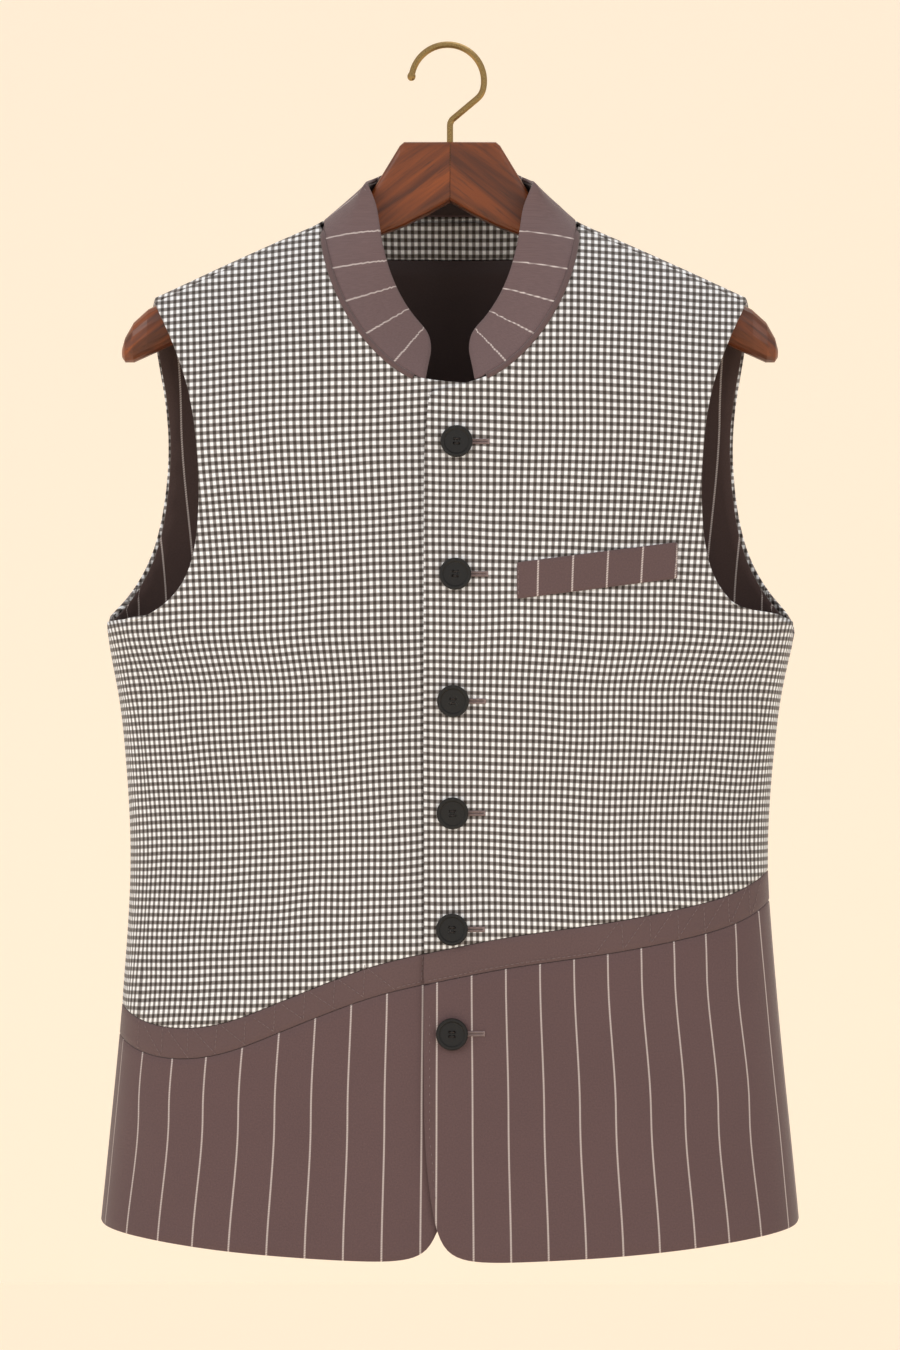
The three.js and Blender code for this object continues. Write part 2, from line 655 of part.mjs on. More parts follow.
function makeLinings() {
  // Checked facing inside the back neck.
  const endT = 0.42;
  const facingTop = (t) => {
    const half = t < 0.5 ? backNeckline(RIGHT) : backNeckline(LEFT);
    const place = half(THREE.MathUtils.lerp(endT, 1, t < 0.5 ? 2 * t : 2 - 2 * t));
    place.y += FACING.topGap;
    return place;
  };
  const facing = { top: facingTop };
  facing.bottom = (t) => placeOnShare(facingTop(t).x, FACING.bottom, BACK);
  facing.left = straight(facing.bottom(0), facing.top(0));
  facing.right = straight(facing.bottom(1), facing.top(1));
  addPiece(jacket, 'back_neck_facing', lined(patch(facing, 14, 2)), CHECKED);

  // Striped facings inside the back armholes, from the shoulder round to the side seam.
  const armFacing = (mirror) => {
    const outer = backArmhole(mirror);
    const edge = (t) => {
      const place = outer(THREE.MathUtils.lerp(0.012, 0.8, t));
      place.x = mirror * Math.min(Math.abs(place.x), 0.995) - mirror * 0.002;
      place.y += 1.5 * (1 - t);
      return place;
    };
    const inner = new THREE.SplineCurve([
      placeOnShare(mirror * 0.993, ARM_FACING.bottom, BACK),
      placeOnShare(mirror * 0.86, -420, BACK),
      placeAt(mirror * 172, -372, BACK),
      placeAt(mirror * 158, -310, BACK),
      placeAt(mirror * 156, -250, BACK),
      new THREE.Vector2(placeAt(mirror * 164, -200, BACK).x, edge(1).y),
    ].map((place) => new THREE.Vector2(place.x * 285, place.y)));
    const inside = (t) => {
      const point = inner.getPointAt(t);
      return new THREE.Vector2(point.x / 285, point.y);
    };
    return mirror === LEFT ? { left: inside, right: edge } : { left: edge, right: inside };
  };
  [[LEFT, 'armhole_facing_left'], [RIGHT, 'armhole_facing_right']].forEach(([mirror, name]) => {
    const edges = armFacing(mirror);
    edges.bottom = straight(edges.left(0), edges.right(0));
    edges.top = straight(edges.left(1), edges.right(1));
    addPiece(jacket, name, lined(patch(edges, 3, 12)), STRIPED);
  });

  // Plain lining of the back, between the facings and down to a little above the hem.
  const [facingLeft, facingRight] = [armFacing(LEFT).left, armFacing(RIGHT).right];
  const hemLine = HEM.centre + HEM.backRise + 20;
  const sideOf = (mirror, facingEdge) => {
    const turnsIn = ARM_FACING.bottom - 1.2;
    const up = (t) => placeOnShare(mirror * 0.993, THREE.MathUtils.lerp(hemLine, turnsIn, t), BACK);
    const beside = (t) => {
      const place = facingEdge(t);
      place.x -= mirror * 0.006 * t;
      place.y += 1.2 * (1 - t);
      return place;
    };
    return joined(up, 0.25, beside);
  };
  const [right, left] = [sideOf(LEFT, facingLeft), sideOf(RIGHT, facingRight)];
  const reach = Math.abs(right(1).x);
  const top = (t) => {
    const share = THREE.MathUtils.lerp(-reach, reach, t);
    const place = placeOnShare(share, FACING.bottom - 0.5, BACK);
    const rise = smoothStep((Math.abs(share) - 0.3) / (reach - 0.3));
    place.y = THREE.MathUtils.lerp(place.y, right(1).y, rise);
    return place;
  };
  const bottom = level(-0.993, 0.993, BACK, () => hemLine);
  addPiece(jacket, 'back_lining', lined(patch({ bottom, top, left, right }, 18, 16)), LINING_CLOTH);
}

makeLinings();

// ---------------------------------------------------------------- the collar

// The collar's seam with the jacket: evenly spaced points from one front end round the back to the other.
function collarSeam() {
  const halfSeam = (mirror) => {
    const points = [];
    const steps = 120;
    for (let n = 0; n <= steps; n += 1) {
      points.push(frontSurface(mirror)(frontNeckline(mirror, COLLAR.end)(n / steps)));
    }
    for (let n = 1; n <= steps; n += 1) points.push(backSurface(backNeckline(mirror)(n / steps)));
    return points;
  };
  const all = [...halfSeam(RIGHT), ...halfSeam(LEFT).reverse().slice(1)];
  const lengths = [0];
  all.slice(1).forEach((point, n) => lengths.push(lengths[n] + point.distanceTo(all[n])));
  const total = lengths[lengths.length - 1];
  const at = (length) => {
    const high = Math.max(lengths.findIndex((l) => l >= Math.min(length, total - 1e-6)), 1);
    const part = (length - lengths[high - 1]) / (lengths[high] - lengths[high - 1]);
    return all[high - 1].clone().lerp(all[high], THREE.MathUtils.clamp(part, 0, 1));
  };
  return { at, total };
}

// How far the collar's rounded front end is set back at a height up the collar.
function endSetBack(up) {
  const high = COLLAR_LEAN[0].height;
  const round = Math.max(up - COLLAR.roundFrom, 0) / (high - COLLAR.roundFrom);
  return COLLAR.endSlant * up + COLLAR.rounding * (1 - Math.sqrt(1 - Math.min(round, 1) ** 2));
}

function collarPoints(columns, rows) {
  const { at, total } = collarSeam();
  const grid = [];
  for (let j = 0; j <= rows; j += 1) {
    const part = j / rows;
    grid.push([]);
    for (let i = 0; i <= columns; i += 1) {
      const setBack = endSetBack(part * COLLAR_LEAN[0].height);
      const length = THREE.MathUtils.lerp(setBack, total - setBack, i / columns);
      const mirror = length < total / 2 ? RIGHT : LEFT;
      const along = 1 - Math.abs(length - total / 2) / (total / 2);
      const lean = (column) => lookUp(COLLAR_LEAN, 'along', column, along);
      const way = new THREE.Vector3(-mirror * lean('inward'), lean('back'), lean('up')).normalize();
      grid[j].push(at(length).addScaledVector(way, COLLAR.gap + part * (lean('height') - COLLAR.gap)));
    }
  }
  return grid;
}

// The collar and, a little inside its front ends and its top edge, its lining.
function makeCollar() {
  const points = collarPoints(34, 4);
  const ways = waysFromNeighbours(points);
  addPiece(jacket, 'collar', wall({ points, ways }, CLOTH / 2, CLOTH / 2), STRIPED);
  const inset = (grid) => {
    const rows = grid.map((row) => row.slice(1, -1));
    const below = rows[rows.length - 2];
    rows.push(rows.pop().map((vector, i) => vector.clone().lerp(below[i], 0.1)));
    return rows;
  };
  const off = CLOTH / 2 + 2 * SEAM;
  const lining = wall({ points: inset(points), ways: inset(ways) }, -off, off + LINING);
  addPiece(jacket, 'collar_lining', lining, LINING_CLOTH);
}

makeCollar();

// ---------------------------------------------------------------- the breast pocket's welt

function makeWelt() {
  const corner = (x, z) => new THREE.Vector2(x, z);
  const edges = {
    bottom: straight(
      corner(WELT.inner, WELT.innerTop - WELT.height),
      corner(WELT.outer, WELT.outerTop - WELT.height),
    ),
    top: straight(corner(WELT.inner, WELT.innerTop), corner(WELT.outer, WELT.outerTop)),
  };
  edges.left = straight(edges.bottom(0), edges.top(0));
  edges.right = straight(edges.bottom(1), edges.top(1));
  const places = patch(edges, 10, 2).map((row) => row.map((p) => placeAt(p.x, p.y, FRONT)));
  const off = CLOTH / 2 + 2 * SEAM;
  addPiece(jacket, 'welt_pocket', wall(laid(places, frontSurface(LEFT)), off + WELT.wall, -off), STRIPED);
}

makeWelt();

// ---------------------------------------------------------------- the buttons

// A four-hole button lying on its back, with a raised rim and a dished middle.
function buttonGeometry() {
  const { radius, thick, rim, dish, hole, holeReach } = BUTTON;
  const profile = [
    [0, 0],
    [radius - 1.6, 0],
    [radius, 1.4],
    [radius, thick - 0.9],
    [radius - 0.7, thick],
    [radius - rim, thick],
    [radius - rim - 1, thick - dish],
    [0, thick - dish],
  ];
  const body = new THREE.LatheGeometry(profile.map(([x, y]) => new THREE.Vector2(x, y)), 28);
  const holes = [45, 135, 225, 315].map((degrees) => {
    const angle = THREE.MathUtils.degToRad(degrees);
    const drill = new THREE.CylinderGeometry(hole, hole, 3 * thick, 8);
    return drill.translate(holeReach * Math.cos(angle), thick / 2, holeReach * Math.sin(angle));
  });
  return cutAway(body, holes);
}

function makeButtons() {
  const geometry = buttonGeometry();
  BUTTONS.forEach(({ x, z }, n) => {
    const around = [[0, 0], [10, 0], [-10, 0], [0, 10], [0, -10]].map(
      ([dx, dz]) => frontSurface(LEFT)(placeAt(x + dx, z + dz, FRONT)),
    );
    const [, right, left, top, bottom] = around;
    const out = right.clone().sub(left).cross(top.clone().sub(bottom)).normalize();
    const stand = Math.min(...around.map((p) => p.y)) - CLOTH / 2 - BUTTON.gap;
    const button = addPiece(jacket, `button_${n + 1}`, geometry, BLACK_HORN);
    button.quaternion.setFromUnitVectors(new THREE.Vector3(0, 1, 0), out);
    button.position.set(x, stand, z);
  });
}

makeButtons();

// ---------------------------------------------------------------- the hanger

function hangerHalf(mirror) {
  const rings = HANGER.map((row) => {
    const ring = [];
    const middle = (row.top + row.bottom) / 2;
    const half = (row.top - row.bottom) / 2;
    for (let n = 0; n < HANGER_SIDES; n += 1) {
      const angle = ((n + 0.5) / HANGER_SIDES) * 2 * Math.PI;
      const power = 2 / row.squareness;
      const round = (value) => Math.sign(value) * Math.abs(value) ** power;
      const [y, z] = [row.thick * round(Math.cos(angle)), middle + half * round(Math.sin(angle))];
      ring.push(new THREE.Vector3(mirror * row.x, y, z));
    }
    return ring;
  });
  const bore = new THREE.CylinderGeometry(WIRE + SEAM, WIRE + SEAM, 2 * HOOK.bore + 2, 16);
  bore.rotateX(Math.PI / 2).translate(0, 0, HANGER[0].top);
  return cutAway(loft(rings), [bore]);
}

addPiece(hanger, 'hanger_right', hangerHalf(RIGHT), WALNUT);
addPiece(hanger, 'hanger_left', hangerHalf(LEFT), WALNUT);

// The hook's wire: points along its middle, and the wire's radius at each of them.
function hookLine() {
  const { loop, turn, neck, ball, bore } = HOOK;
  const rad = THREE.MathUtils.degToRad;
  const line = [];
  const arc = (x, z, radius, from, to, steps) => {
    for (let n = 1; n <= steps; n += 1) {
      const angle = rad(THREE.MathUtils.lerp(from, to, n / steps));
      line.push({ x: x + radius * Math.cos(angle), z: z + radius * Math.sin(angle), r: WIRE });
    }
  };
  // The ball, then the loop over the rail.
  const start = rad(loop.from);
  const back = { x: Math.sin(start), z: -Math.cos(start) };
  const tip = { x: loop.x + loop.radius * Math.cos(start), z: loop.z + loop.radius * Math.sin(start) };
  const reach = Math.sqrt(ball ** 2 - WIRE ** 2);
  [-0.98, -0.8, -0.45, 0, 0.45, reach / ball].forEach((part) => {
    const away = reach - part * ball;
    line.push({ x: tip.x - back.x * away, z: tip.z - back.z * away, r: ball * Math.sqrt(1 - part ** 2) });
  });
  arc(loop.x, loop.z, loop.radius, loop.from, loop.to, 26);
  // A tighter turn below the loop, then a straight run into the neck's bend.
  const to = rad(loop.to);
  const inset = loop.radius - turn.radius;
  const turnX = loop.x + inset * Math.cos(to);
  const turnZ = loop.z + inset * Math.sin(to);
  arc(turnX, turnZ, turn.radius, loop.to, turn.to, 4);
  const end = line[line.length - 1];
  const slope = rad(turn.to);
  const run = { x: Math.sin(slope), z: -Math.cos(slope) };
  const length = (end.x - neck.radius * (1 - Math.cos(Math.PI / 2 + slope))) / -run.x;
  const corner = { x: end.x + run.x * length, z: end.z + run.z * length };
  line.push({ ...corner, r: WIRE });
  const sweep = 90 + turn.to;
  const centre = { x: neck.radius, z: corner.z - neck.radius * Math.sin(rad(sweep)) };
  arc(centre.x, centre.z, neck.radius, 180 - sweep, 180, 5);
  line.push({ x: 0, z: HANGER[0].top - bore, r: WIRE });
  return line;
}

function hookGeometry() {
  const line = hookLine();
  const rings = line.map((here, n) => {
    const before = line[Math.max(n - 1, 0)];
    const after = line[Math.min(n + 1, line.length - 1)];
    const along = new THREE.Vector2(after.x - before.x, after.z - before.z).normalize();
    const ring = [];
    for (let i = 0; i < HOOK_SIDES; i += 1) {
      const angle = ((i + 0.5) / HOOK_SIDES) * 2 * Math.PI;
      const [across, deep] = [here.r * Math.cos(angle), here.r * Math.sin(angle)];
      ring.push(new THREE.Vector3(here.x + along.y * across, deep, here.z - along.x * across));
    }
    return ring;
  });
  return loft(rings);
}

addPiece(hanger, 'hook', hookGeometry(), BRASS);

const part = new THREE.Group();
part.add(jacket, hanger);

export default part;
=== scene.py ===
import math
import bmesh
import bpy
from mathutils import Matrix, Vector, noise


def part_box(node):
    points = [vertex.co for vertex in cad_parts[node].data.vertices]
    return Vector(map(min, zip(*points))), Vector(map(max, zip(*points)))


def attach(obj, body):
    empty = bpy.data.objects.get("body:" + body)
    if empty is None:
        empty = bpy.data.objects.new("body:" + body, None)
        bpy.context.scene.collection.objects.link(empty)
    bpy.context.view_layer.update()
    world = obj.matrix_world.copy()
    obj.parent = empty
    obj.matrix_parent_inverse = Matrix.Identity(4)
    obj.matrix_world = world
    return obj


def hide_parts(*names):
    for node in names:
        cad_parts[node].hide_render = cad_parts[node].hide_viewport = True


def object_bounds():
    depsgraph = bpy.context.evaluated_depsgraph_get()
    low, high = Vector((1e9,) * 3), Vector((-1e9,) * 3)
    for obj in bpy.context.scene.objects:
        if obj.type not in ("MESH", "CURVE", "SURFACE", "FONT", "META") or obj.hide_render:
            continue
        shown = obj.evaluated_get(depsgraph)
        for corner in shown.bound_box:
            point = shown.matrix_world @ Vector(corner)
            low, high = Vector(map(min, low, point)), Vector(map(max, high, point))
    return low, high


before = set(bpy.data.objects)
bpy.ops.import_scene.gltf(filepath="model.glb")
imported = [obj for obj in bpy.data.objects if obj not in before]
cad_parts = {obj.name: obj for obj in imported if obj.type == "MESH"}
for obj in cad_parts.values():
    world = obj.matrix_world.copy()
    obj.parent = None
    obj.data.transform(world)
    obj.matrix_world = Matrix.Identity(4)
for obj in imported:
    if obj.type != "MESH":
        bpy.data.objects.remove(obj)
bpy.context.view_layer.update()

# ---------------------------------------------------------------------------------------------
# The room: a plain wall behind the hanging jacket, a pale floor far below it, a large soft lamp
# on each side of the front, a weaker one behind, and the camera straight in front.
low_corner, high_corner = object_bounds()
wall_width, wall_height = 24.0, 14.0
wall_gap = 4.5  # from the back of the jacket to the wall


def staged_plane(name, across, up, middle):
    mesh = bpy.data.meshes.new(name)
    corners = [(-1, -1), (1, -1), (1, 1), (-1, 1)]
    mesh.from_pydata([middle + a * across + b * up for a, b in corners], [], [(0, 1, 2, 3)])
    plane = bpy.data.objects.new(name, mesh)
    bpy.context.scene.collection.objects.link(plane)
    return plane


wall = staged_plane("wall", Vector((wall_width / 2, 0, 0)), Vector((0, 0, wall_height / 2)),
                    Vector((0, high_corner[1] + wall_gap, low_corner[2])))
floor = staged_plane("floor", Vector((wall_width / 2, 0, 0)), Vector((0, wall_width / 2, 0)),
                     Vector((0, 0, low_corner[2] - 0.9)))
paint = bpy.data.materials.new("cream_paint")
paint.use_nodes = True
paint.node_tree.nodes["Principled BSDF"].inputs["Base Color"].default_value = (0.92, 0.8, 0.63, 1)
paint.node_tree.nodes["Principled BSDF"].inputs["Roughness"].default_value = 0.95
paint.node_tree.nodes["Principled BSDF"].inputs["Emission Color"].default_value = (1, 0.94, 0.87, 1)
paint.node_tree.nodes["Principled BSDF"].inputs["Emission Strength"].default_value = 0.255
for plane in (wall, floor):
    plane.data.materials.append(paint)

room = bpy.data.worlds.new("room")
bpy.context.scene.world = room
room.use_nodes = True
room.node_tree.nodes["Background"].inputs["Color"].default_value = (1, 0.99, 0.985, 1)
room.node_tree.nodes["Background"].inputs["Strength"].default_value = 0.62

for name, place, size, power in (
    ("lamp_left", (-1.9, -1.9, 0.6), 1.5, 24),
    ("lamp_right", (1.7, -2.1, 0.35), 1.5, 15),
    ("lamp_back", (0.4, 0.7, 1.3), 1.2, 5),
):
    lamp = bpy.data.lights.new(name, "AREA")
    lamp.size = size
    lamp.energy = power
    lamp.color = (1, 0.99, 0.98)
    holder = bpy.data.objects.new(name, lamp)
    holder.location = place
    holder.rotation_euler = (Vector((0, 0, -0.42)) - Vector(place)).to_track_quat("-Z", "Y").to_euler()
    bpy.context.scene.collection.objects.link(holder)

camera_data = bpy.data.cameras.new("camera")
camera_data.lens = 85
camera_data.sensor_width = 36
camera = bpy.data.objects.new("camera", camera_data)
camera.location = (0, -2.2, -0.4327)
camera.rotation_euler = (math.radians(90), 0, 0)
bpy.context.scene.collection.objects.link(camera)
bpy.context.scene.camera = camera
bpy.context.scene.view_settings.view_transform = "Standard"

# ---------------------------------------------------------------------------------------------
# The checked upper jacket: two fronts and a back of yarn-dyed cotton gingham, cut with the check
# level with the hem of each panel, interlined, and joined at the shoulders and the side seams.
half_width_at = [(-0.085, 0.262), (-0.25, 0.252), (-0.397, 0.2375), (-0.45, 0.2257),
                 (-0.546, 0.2184), (-0.63, 0.223), (-0.727, 0.2326), (-0.83, 0.243)]
girth_half = 0.285  # laid out from the centre line to a side seam, the same at every height
depth_per_width = 0.31  # of a level section through the jacket
section_power = 0.8  # how square that section is: 1 is an ellipse, and less is squarer
side_share = 0.93  # of the half width, beyond which the cloth turns round the side
side_turn = (1 - side_share ** (2 / section_power)) ** (section_power / 2)  # share of the depth there


def half_width(z):
    for (top, wide), (bottom, wide_below) in zip(half_width_at, half_width_at[1:]):
        if z >= bottom:
            t = min(max((top - z) / (top - bottom), 0), 1)
            return wide + (wide_below - wide) * t * t * (3 - 2 * t)
    return half_width_at[-1][1]


share_steps = []
turn_before, length_so_far = (0.0, 1.0), 0.0
for step in range(201):
    angle = step / 200 * math.pi / 2
    turn_here = (math.sin(angle) ** section_power, max(math.cos(angle), 0.0) ** section_power)
    length_so_far += math.hypot(turn_here[0] - turn_before[0],
                                depth_per_width * (turn_here[1] - turn_before[1]))
    share_steps.append((turn_here[0], length_so_far))
    turn_before = turn_here


def length_of_share(wanted):
    """Laid-out distance from the centre line to a share of the half width."""
    for (low, length_low), (high, length_high) in zip(share_steps, share_steps[1:]):
        if high >= wanted:
            length = length_low + (length_high - length_low) * (wanted - low) / max(high - low, 1e-9)
            return length / share_steps[-1][1] * girth_half
    return girth_half


def cloth_across(point):
    """Laid-out distance from the centre line, for a point on a panel that hangs round the body."""
    wide = half_width(point.z)
    wanted = min(abs(point.x) / wide, 1.0)
    if wanted > side_share:  # round the side, the depth tells the place better than the width
        depth = abs(point.y) / (depth_per_width * wide)
        turn_there = min(depth, side_turn) / side_turn
        length = girth_half - (girth_half - length_of_share(side_share)) * turn_there
    else:
        length = length_of_share(wanted)
    return math.copysign(length, point.x)


def drape(point, strength):
    """How far the hanging cloth stands off its smooth shape: slow folds and small puckers."""
    slow = noise.noise(Vector((point.x * 9, point.y * 5, point.z * 3.2 + 4)))
    slant = noise.noise(Vector((point.x * 16 + point.z * 7, point.y * 9, point.z * 5 - 7)))
    return strength * (0.0019 * slow + 0.0009 * slant)


def cloth_from(node, name, strength=1.0, cuts=1, lay=cloth_across):
    """A closed cloth piece on a panel's own outline, smoothed, draped and laid out flat in its UV map."""
    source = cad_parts[node]
    made = bmesh.new()
    made.from_mesh(source.data)
    made.transform(source.matrix_world)
    bmesh.ops.remove_doubles(made, verts=made.verts, dist=2e-5)
    bmesh.ops.join_triangles(made, faces=made.faces, cmp_seam=False, cmp_sharp=False,
                             angle_face_threshold=math.radians(40), angle_shape_threshold=math.radians(60))
    crease = made.edges.layers.float.new("crease_edge")
    for edge in made.edges:
        if len(edge.link_faces) == 2 and edge.calc_face_angle(0) > math.radians(50):
            edge[crease] = 0.75
    mesh = bpy.data.meshes.new(name)
    made.to_mesh(mesh)
    made.free()
    piece = bpy.data.objects.new(name, mesh)
    bpy.context.scene.collection.objects.link(piece)
    smooth = piece.modifiers.new("smooth", "SUBSURF")
    smooth.levels = smooth.render_levels = cuts + 1
    smooth.boundary_smooth = "PRESERVE_CORNERS"
    graph = bpy.context.evaluated_depsgraph_get()
    finer = bpy.data.meshes.new_from_object(piece.evaluated_get(graph))
    piece.modifiers.clear()
    piece.data = finer
    finer.name = name
    laid_out = finer.uv_layers.new(name="cloth")
    flat = [(lay(vertex.co), -vertex.co.z) for vertex in finer.vertices]
    for vertex in finer.vertices:
        away = Vector((vertex.co.x * 0.3, vertex.co.y, 0)).normalized()
        vertex.co += away * drape(vertex.co, strength)
    for loop in finer.loops:
        laid_out.data[loop.index].uv = flat[loop.vertex_index]
    for face in finer.polygons:
        face.use_smooth = True
    return piece


def group(name, inputs, outputs):
    """An empty shader group with named sockets, and its input and output nodes."""
    tree = bpy.data.node_groups.new(name, "ShaderNodeTree")
    for label, kind, value in inputs:
        socket = tree.interface.new_socket(label, in_out="INPUT", socket_type=kind)
        if value is not None:
            socket.default_value = value
    for label, kind in outputs:
        tree.interface.new_socket(label, in_out="OUTPUT", socket_type=kind)
    return tree, tree.nodes.new("NodeGroupInput"), tree.nodes.new("NodeGroupOutput")


def maths(tree, operation, *values, clamp=False):
    node = tree.nodes.new("ShaderNodeMath")
    node.operation = operation
    node.use_clamp = clamp
    for socket, value in zip(node.inputs, values):
        if isinstance(value, (int, float)):
            socket.default_value = value
        else:
            tree.links.new(value, socket)
    return node.outputs[0]


def mixed(tree, factor, first, second, blend="MIX"):
    node = tree.nodes.new("ShaderNodeMix")
    node.data_type = "RGBA"
    node.blend_type = blend
    for socket, value in ((node.inputs[0], factor), (node.inputs[6], first), (node.inputs[7], second)):
        if isinstance(value, (int, float)):
            socket.default_value = value
        elif isinstance(value, tuple):
            socket.default_value = (*value, 1)
        else:
            tree.links.new(value, socket)
    return node.outputs[2]


# Weave: the fine crossing threads, from the cloth's own lay, with slight unevenness of the yarn.
weave, weave_in, weave_out = group(
    "weave", [("Cloth", "NodeSocketVector", None), ("Thread", "NodeSocketFloat", 0.0006)],
    [("Height", "NodeSocketFloat"), ("Slub", "NodeSocketFloat")])
split = weave.nodes.new("ShaderNodeSeparateXYZ")
weave.links.new(weave_in.outputs["Cloth"], split.inputs[0])
warp_wave = maths(weave, "SINE", maths(weave, "DIVIDE", maths(
    weave, "MULTIPLY", split.outputs[0], math.tau), weave_in.outputs["Thread"]))
weft_wave = maths(weave, "SINE", maths(weave, "DIVIDE", maths(
    weave, "MULTIPLY", split.outputs[1], math.tau), weave_in.outputs["Thread"]))
yarn = weave.nodes.new("ShaderNodeTexNoise")
yarn.inputs["Scale"].default_value = 900
yarn.inputs["Detail"].default_value = 3
weave.links.new(weave_in.outputs["Cloth"], yarn.inputs["Vector"])
crossing = maths(weave, "MULTIPLY", warp_wave, weft_wave)
weave.links.new(maths(weave, "ADD", maths(weave, "MULTIPLY", crossing, 0.5), yarn.outputs[0]),
                weave_out.inputs["Height"])
weave.links.new(yarn.outputs[0], weave_out.inputs["Slub"])

# Gingham: bands of dark and white yarn each way; white where white crosses white, dark where
# dark crosses dark, and a mixed grey where the two cross.
gingham, gingham_in, gingham_out = group(
    "gingham",
    [("Cloth", "NodeSocketVector", None), ("Across", "NodeSocketFloat", 0.00463),
     ("Down", "NodeSocketFloat", 0.0052), ("Tilt", "NodeSocketFloat", 0.0),
     ("White", "NodeSocketColor", (0.98, 0.985, 0.99, 1)),
     ("Grey", "NodeSocketColor", (0.26, 0.235, 0.225, 1)),
     ("Dark", "NodeSocketColor", (0.05, 0.04, 0.034, 1))],
    [("Color", "NodeSocketColor")])
split = gingham.nodes.new("ShaderNodeSeparateXYZ")
gingham.links.new(gingham_in.outputs["Cloth"], split.inputs[0])
wander = gingham.nodes.new("ShaderNodeTexNoise")
wander.inputs["Scale"].default_value = 14
wander.inputs["Detail"].default_value = 1
gingham.links.new(gingham_in.outputs["Cloth"], wander.inputs["Vector"])
wandering = maths(gingham, "MULTIPLY", maths(gingham, "SUBTRACT", wander.outputs[0], 0.5), 0.004)


def yarn_bands(tree, along, period):
    """1 in the white bands and 0 in the dark ones, with an edge about a thread wide."""
    turn = maths(tree, "FRACT", maths(tree, "DIVIDE", along, period))
    away = maths(tree, "ABSOLUTE", maths(tree, "SUBTRACT", turn, 0.5))
    return maths(tree, "MULTIPLY", maths(tree, "SUBTRACT", away, 0.18), 7, clamp=True)


across = maths(gingham, "ADD", split.outputs[0], maths(gingham, "MULTIPLY", wandering, 0.4))
tilted = maths(gingham, "MULTIPLY", split.outputs[0], gingham_in.outputs["Tilt"])
down = maths(gingham, "ADD", maths(gingham, "ADD", split.outputs[1], tilted), wandering)
warp_white = yarn_bands(gingham, across, gingham_in.outputs["Across"])
weft_white = yarn_bands(gingham, down, gingham_in.outputs["Down"])
white_both = maths(gingham, "MULTIPLY", warp_white, weft_white)
white_any = maths(gingham, "MAXIMUM", warp_white, weft_white)
colour = mixed(gingham, white_any, gingham_in.outputs["Dark"], gingham_in.outputs["Grey"])
colour = mixed(gingham, white_both, colour, gingham_in.outputs["White"])
gingham.links.new(colour, gingham_out.inputs["Color"])

# Uneven dye: slow patches of lighter and darker cloth.
patches, patches_in, patches_out = group(
    "uneven_dye", [("Strength", "NodeSocketFloat", 0.1)], [("Shade", "NodeSocketFloat")])
place_in = patches.nodes.new("ShaderNodeTexCoord")
blotch = patches.nodes.new("ShaderNodeTexNoise")
blotch.inputs["Scale"].default_value = 11
blotch.inputs["Detail"].default_value = 4
patches.links.new(place_in.outputs["Object"], blotch.inputs["Vector"])
shade = maths(patches, "MULTIPLY", maths(patches, "SUBTRACT", blotch.outputs[0], 0.5),
              patches_in.outputs["Strength"])
patches.links.new(maths(patches, "ADD", shade, 1.0), patches_out.inputs["Shade"])


def new_material(name, roughness, sheen=0.0):
    made = bpy.data.materials.new(name)
    made.use_nodes = True
    shader = made.node_tree.nodes["Principled BSDF"]
    shader.inputs["Roughness"].default_value = roughness
    shader.inputs["Specular IOR Level"].default_value = 0.25
    shader.inputs["Sheen Weight"].default_value = sheen
    shader.inputs["Sheen Roughness"].default_value = 0.5
    return made, made.node_tree, shader


def use_group(tree, shared, **values):
    node = tree.nodes.new("ShaderNodeGroup")
    node.node_tree = shared
    for label, value in values.items():
        socket = node.inputs[label.replace("_", " ")]
        if isinstance(value, (int, float)):
            socket.default_value = value
        elif isinstance(value, tuple):
            socket.default_value = (*value, 1)
        else:
            tree.links.new(value, socket)
    return node


def cloth_lay(tree):
    laid = tree.nodes.new("ShaderNodeUVMap")
    laid.uv_map = "cloth"
    return laid.outputs[0]


def finish_cloth(tree, shader, colour, lay_socket, thread=0.0006, depth=0.00012, dye=0.16):
    """Thread relief and uneven dye, then the colour and normal into the shader."""
    threads = use_group(tree, weave, Cloth=lay_socket, Thread=thread)
    dyed = use_group(tree, patches, Strength=dye)
    grey = tree.nodes.new("ShaderNodeCombineColor")
    for socket in grey.inputs:
        tree.links.new(dyed.outputs["Shade"], socket)
    lit = mixed(tree, 1.0, colour, grey.outputs[0], "MULTIPLY")
    speck = maths(tree, "ADD", maths(tree, "MULTIPLY", threads.outputs["Slub"], 0.5), 0.75)
    yarn_grey = tree.nodes.new("ShaderNodeCombineColor")
    for socket in yarn_grey.inputs:
        tree.links.new(speck, socket)
    lit = mixed(tree, 1.0, lit, yarn_grey.outputs[0], "MULTIPLY")
    tree.links.new(lit, shader.inputs["Base Color"])
    bump = tree.nodes.new("ShaderNodeBump")
    bump.inputs["Strength"].default_value = 0.5
    bump.inputs["Distance"].default_value = depth
    tree.links.new(threads.outputs["Height"], bump.inputs["Height"])
    tree.links.new(bump.outputs[0], shader.inputs["Normal"])


def gingham_material(name, tilt, across=0.00463, down=0.0052):
    made, tree, shader = new_material(name, 0.9, 0.15)
    lay_socket = cloth_lay(tree)
    check = use_group(tree, gingham, Cloth=lay_socket, Across=across, Down=down, Tilt=tilt)
    finish_cloth(tree, shader, check.outputs["Color"], lay_socket)
    return made


def dress(piece, material, node):
    """Material and frame of one cloth piece; its CAD part is hidden."""
    piece.data.materials.clear()
    piece.data.materials.append(material)
    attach(piece, "root")
    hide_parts(node)


right_check = gingham_material("gingham_right_front", 0.045)
left_check = gingham_material("gingham_left_front", -0.02)
back_check = gingham_material("gingham_back", 0.0)

